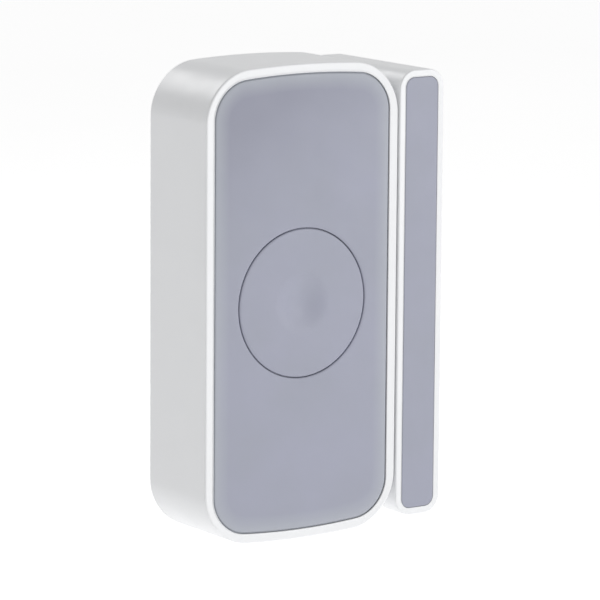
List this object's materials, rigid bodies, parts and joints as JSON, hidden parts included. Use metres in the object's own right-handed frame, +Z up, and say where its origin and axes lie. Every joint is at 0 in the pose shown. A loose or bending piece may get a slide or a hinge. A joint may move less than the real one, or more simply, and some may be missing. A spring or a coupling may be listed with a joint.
{
  "type": "door contact sensor",
  "caption": "Wireless door contact sensor: tall white sensor unit with a grey front panel and round dished push button, beside a narrow, deeper magnet unit; both stick on by foam pads.",
  "frame": {"origin": "centre of the sensor unit's adhesive pad, on its wall face, so the wall is the plane Y = 0", "axes": "+Y out of the back into the wall, -Y the front with the button, +X from the sensor unit to the magnet unit, +Z up"},
  "size_m": [0.0452, 0.0265, 0.076],
  "materials": {
    "white_plastic": "satin, fine moulded texture",
    "grey_plastic": "matte lavender grey",
    "black_plastic": "matte",
    "inner_plastic": "matte, natural",
    "board_green": "solder mask over glass-fibre board",
    "steel": "plain",
    "spring_steel": "plated sheet",
    "magnet_metal": "nickel-plated",
    "foam_pad": "closed-cell foam tape",
    "clear_glass": "clear, slightly green",
    "ceramic": "ceramic"
  },
  "bodies": {
    "base": {"rear_cover": "white_plastic", "sensor_adhesive_pad": "foam_pad"},
    "sensor": {"sensor_housing": "white_plastic", "front_panel": "grey_plastic", "main_pcb": "board_green", "tact_switch_body": "black_plastic", "microcontroller": "black_plastic", "status_led": "ceramic", "crystal_can": "steel", "bulk_capacitor": "steel", "radio_board": "board_green", "radio_shield": "steel", "chip_antenna": "ceramic", "reed_glass": "clear_glass", "reed_lead_top": "steel", "reed_lead_bottom": "steel", "battery_holder": "black_plastic", "coin_cell": "steel", "battery_contact_pos": "spring_steel", "battery_contact_neg": "spring_steel", "board_screw_1": "steel", "board_screw_2": "steel", "board_screw_3": "steel", "board_screw_4": "steel"},
    "button": {"button_cap": "grey_plastic", "tact_plunger": "black_plastic"},
    "magnet": {"magnet_housing": "white_plastic", "magnet_inlay": "grey_plastic", "bar_magnet": "magnet_metal", "magnet_retainer": "inner_plastic", "magnet_rear_cover": "white_plastic", "magnet_adhesive_pad": "foam_pad"}
  },
  "joints": [
    {"name": "sensor_release", "type": "slide", "parent": "base", "child": "sensor", "axis": [0, -1, 0], "range_m": [0, 0.03]},
    {"name": "button_press", "type": "slide", "parent": "sensor", "child": "button", "axis": [0, 1, 0], "range_m": [0, 0.0004], "stiffness_N_per_m": 3000},
    {"name": "magnet_travel", "type": "slide", "parent": "base", "child": "magnet", "axis": [1, 0, 0], "range_m": [0, 0.05]}
  ]
}
